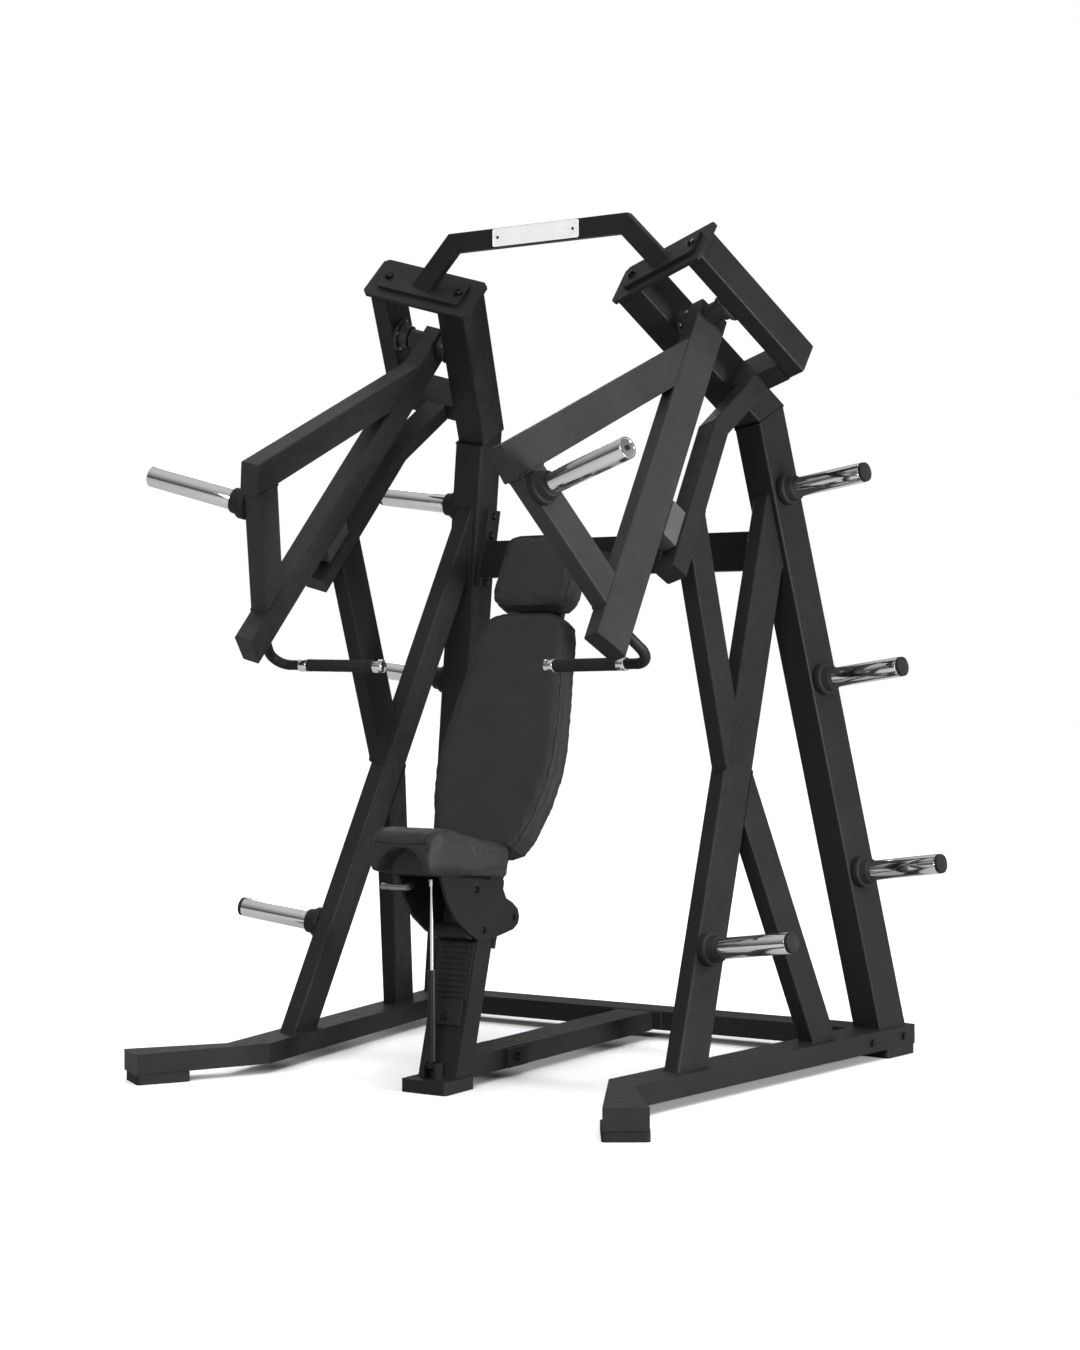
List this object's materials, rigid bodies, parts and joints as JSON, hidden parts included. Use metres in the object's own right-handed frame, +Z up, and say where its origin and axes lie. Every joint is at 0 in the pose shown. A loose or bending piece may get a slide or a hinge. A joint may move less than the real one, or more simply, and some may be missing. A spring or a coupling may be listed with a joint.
{
  "type": "shoulder press machine",
  "caption": "Plate-loaded press machine with independent converging press arms, a reclined pad, a height-adjustable seat and weight storage pegs.",
  "frame": {"origin": "on the floor, at the middle of the footprint", "axes": "+X to the right of the machine as seen from the front, -Y towards the front where the user faces, +Z up"},
  "size_m": [1.799, 1.436, 2.116],
  "materials": {
    "frame_coat": "satin charcoal powder coat with fine orange peel",
    "arm_coat": "satin mid-grey powder coat with fine orange peel",
    "black_steel": "black oxide steel, semi-gloss",
    "machined_steel": "turned and brushed steel",
    "chrome_plate": "polished chrome plate",
    "bearing_iron": "painted cast iron housing",
    "black_rubber": "matt moulded rubber",
    "grey_rubber": "matt grey rubber",
    "black_plastic": "fine-textured moulded plastic",
    "plate_white": "blank printed plate, silver white",
    "vinyl": "charcoal grained vinyl over foam"
  },
  "bodies": {
    "frame": {"right_base_rail": "frame_coat", "left_base_rail": "frame_coat", "base_crossbeam": "frame_coat", "base_centre_rail": "frame_coat", "rail_feet": "black_rubber", "seat_post_foot": "black_rubber", "seat_post": "frame_coat", "post_shield": "black_plastic", "frame_end_caps": "black_plastic", "right_column": "frame_coat", "left_column": "frame_coat", "right_front_leg": "frame_coat", "left_front_leg": "frame_coat", "right_rear_leg": "frame_coat", "left_rear_leg": "frame_coat", "right_prop": "frame_coat", "left_prop": "frame_coat", "right_inner_beam": "frame_coat", "left_inner_beam": "frame_coat", "right_outer_beam": "frame_coat", "left_outer_beam": "frame_coat", "yoke_plates": "frame_coat", "right_stop_bar": "frame_coat", "left_stop_bar": "frame_coat", "stop_bumpers": "grey_rubber", "pivot_bearings": "bearing_iron", "crown_bar": "frame_coat", "name_plate": "plate_white", "upper_crossbeam": "frame_coat", "spine": "frame_coat", "backrest_pad": "vinyl", "headrest_pad": "vinyl", "storage_horns": "chrome_plate", "storage_horn_collars": "black_rubber", "frame_bolts": "black_steel"},
    "right_press_arm": {"right_arm": "arm_coat", "right_arm_top_brace": "arm_coat", "right_arm_front_brace": "arm_coat", "right_arm_cap": "black_plastic", "right_pivot_shaft": "machined_steel", "right_loading_horn": "chrome_plate", "right_loading_collar": "black_rubber", "right_handle": "frame_coat", "right_grip": "black_rubber", "right_grip_collars": "chrome_plate"},
    "left_press_arm": {"left_arm": "arm_coat", "left_arm_top_brace": "arm_coat", "left_arm_front_brace": "arm_coat", "left_arm_cap": "black_plastic", "left_pivot_shaft": "machined_steel", "left_loading_horn": "chrome_plate", "left_loading_collar": "black_rubber", "left_handle": "frame_coat", "left_grip": "black_rubber", "left_grip_collars": "chrome_plate"},
    "seat": {"seat_carriage": "frame_coat", "seat_pad": "vinyl"},
    "lever": {"release_lever": "machined_steel"},
    "gas_cylinder": {"spring_cylinder": "black_steel"},
    "gas_rod": {"spring_rod": "chrome_plate"}
  },
  "joints": [
    {"name": "right_press", "type": "hinge", "parent": "frame", "child": "right_press_arm", "pos_m": [0.41466, 0.1821, 1.86154], "axis": [-0.941, 0.1982, -0.2745], "range_deg": [0, 40]},
    {"name": "left_press", "type": "hinge", "parent": "frame", "child": "left_press_arm", "pos_m": [-0.41466, 0.1821, 1.86154], "axis": [-0.941, -0.1982, 0.2745], "range_deg": [0, 40]},
    {"name": "seat_height", "type": "slide", "parent": "frame", "child": "seat", "axis": [0, 0.2807, 0.9598], "range_m": [-0.14, 0]},
    {"name": "lever_squeeze", "type": "hinge", "parent": "seat", "child": "lever", "pos_m": [0, -0.446, 0.484], "axis": [-1, 0, 0], "range_deg": [0, 12], "stiffness_Nm_per_rad": 0.8, "springref_deg": -5.73},
    {"name": "spring_tilt", "type": "hinge", "parent": "frame", "child": "gas_cylinder", "pos_m": [0, -0.41, 0.058], "axis": [1, 0, 0], "range_deg": [0, 7.5]},
    {"name": "rod_slide", "type": "slide", "parent": "gas_cylinder", "child": "gas_rod", "axis": [0, 0, 1], "range_m": [-0.134, 0]}
  ],
  "couplings": [
    {"joint": "spring_tilt", "follows": "seat_height", "rad_per_m": -0.90745},
    {"joint": "rod_slide", "follows": "seat_height", "ratio": 0.94195}
  ]
}
